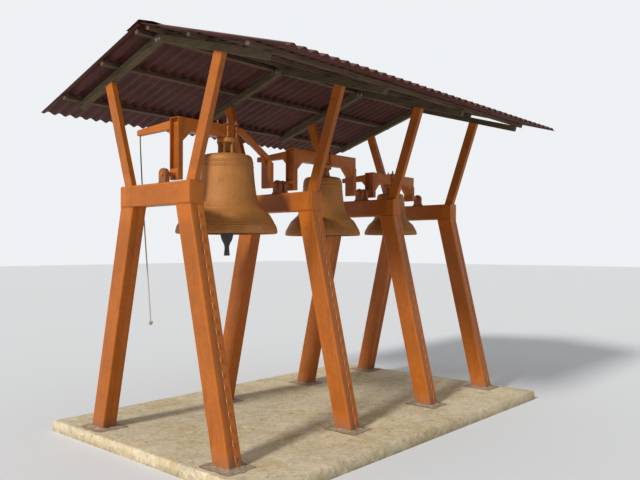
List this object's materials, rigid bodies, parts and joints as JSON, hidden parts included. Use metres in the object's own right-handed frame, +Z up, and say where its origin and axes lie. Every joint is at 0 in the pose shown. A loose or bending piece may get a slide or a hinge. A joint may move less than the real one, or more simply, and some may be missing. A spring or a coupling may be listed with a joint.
{
  "type": "steel bell tower",
  "caption": "Open bell tower of orange-brown painted steel sections: A-shaped trestles, swinging bronze bells on cranked yokes with rope levers, low corrugated gable roof.",
  "frame": {"origin": "middle of the concrete pad's underside, on the ground", "axes": "+Z up, +Y along the ridge from the front trestle with the largest bell to the back one, +X to the right seen from the front"},
  "size_m": [3.297, 4.26, 3.5329],
  "materials": {
    "concrete": "rough, weathered concrete",
    "painted_steel": "orange-brown brushed gloss paint, weathered",
    "rough_timber": "sawn, unpainted, greyed",
    "coated_sheet": "dark red-brown coating, worn",
    "black_iron": "dark, greasy at the bearings",
    "rusted_iron": "thin brown rust",
    "bronze": "cast bell bronze, dulled to light brown",
    "rope": "pale laid fibre rope, soiled"
  },
  "bodies": {
    "tower_frame": {"foundation_slab": "concrete", "trestle_1_left_leg": "painted_steel", "trestle_1_right_leg": "painted_steel", "trestle_2_left_leg": "painted_steel", "trestle_2_right_leg": "painted_steel", "trestle_3_left_leg": "painted_steel", "trestle_3_right_leg": "painted_steel", "trestle_4_left_leg": "painted_steel", "trestle_4_right_leg": "painted_steel", "trestle_1_beam": "painted_steel", "trestle_2_beam": "painted_steel", "trestle_3_beam": "painted_steel", "trestle_4_beam": "painted_steel", "trestle_1_arms": "painted_steel", "trestle_2_arms": "painted_steel", "trestle_3_arms": "painted_steel", "trestle_4_arms": "painted_steel", "rafter_pair_1": "rough_timber", "rafter_pair_2": "rough_timber", "rafter_pair_3": "rough_timber", "rafter_pair_4": "rough_timber", "ridge_battens": "rough_timber", "middle_batten_left": "rough_timber", "middle_batten_right": "rough_timber", "eave_batten_left": "rough_timber", "eave_batten_right": "rough_timber", "roof_sheet_left": "coated_sheet", "roof_sheet_right": "coated_sheet", "ridge_cap": "coated_sheet", "bearings_1": "black_iron", "bearings_2": "black_iron", "bearings_3": "black_iron", "bearings_4": "black_iron"},
    "swinging_bell_1": {"bell_1": "bronze", "yoke_beam_1": "painted_steel", "yoke_posts_1": "painted_steel", "rope_lever_1": "painted_steel", "gudgeons_1": "black_iron", "hangers_1": "rusted_iron", "bell_rope": "rope"},
    "clapper_1": {"clapper_1": "rusted_iron"},
    "swinging_bell_2": {"bell_2": "bronze", "yoke_beam_2": "painted_steel", "yoke_posts_2": "painted_steel", "rope_lever_2": "painted_steel", "gudgeons_2": "black_iron", "hangers_2": "rusted_iron"},
    "clapper_2": {"clapper_2": "rusted_iron"},
    "swinging_bell_3": {"bell_3": "bronze", "yoke_beam_3": "painted_steel", "yoke_posts_3": "painted_steel", "rope_lever_3": "painted_steel", "gudgeons_3": "black_iron", "hangers_3": "rusted_iron"},
    "clapper_3": {"clapper_3": "rusted_iron"}
  },
  "joints": [
    {"name": "bell_1_swing", "type": "hinge", "parent": "tower_frame", "child": "swinging_bell_1", "pos_m": [0, -1.2075, 2.315], "axis": [0, 1, 0], "range_deg": [-50, 50]},
    {"name": "bell_2_swing", "type": "hinge", "parent": "tower_frame", "child": "swinging_bell_2", "pos_m": [0, 0.095, 2.315], "axis": [0, 1, 0], "range_deg": [-50, 50]},
    {"name": "bell_3_swing", "type": "hinge", "parent": "tower_frame", "child": "swinging_bell_3", "pos_m": [0, 1.305, 2.315], "axis": [0, 1, 0], "range_deg": [-50, 50]},
    {"name": "clapper_1_swing", "type": "hinge", "parent": "swinging_bell_1", "child": "clapper_1", "pos_m": [0, -1.2075, 2.449], "axis": [0, 1, 0], "range_deg": [-27, 27]},
    {"name": "clapper_2_swing", "type": "hinge", "parent": "swinging_bell_2", "child": "clapper_2", "pos_m": [0, 0.095, 2.362], "axis": [0, 1, 0], "range_deg": [-27, 27]},
    {"name": "clapper_3_swing", "type": "hinge", "parent": "swinging_bell_3", "child": "clapper_3", "pos_m": [0, 1.305, 2.2784], "axis": [0, 1, 0], "range_deg": [-27, 27]}
  ]
}
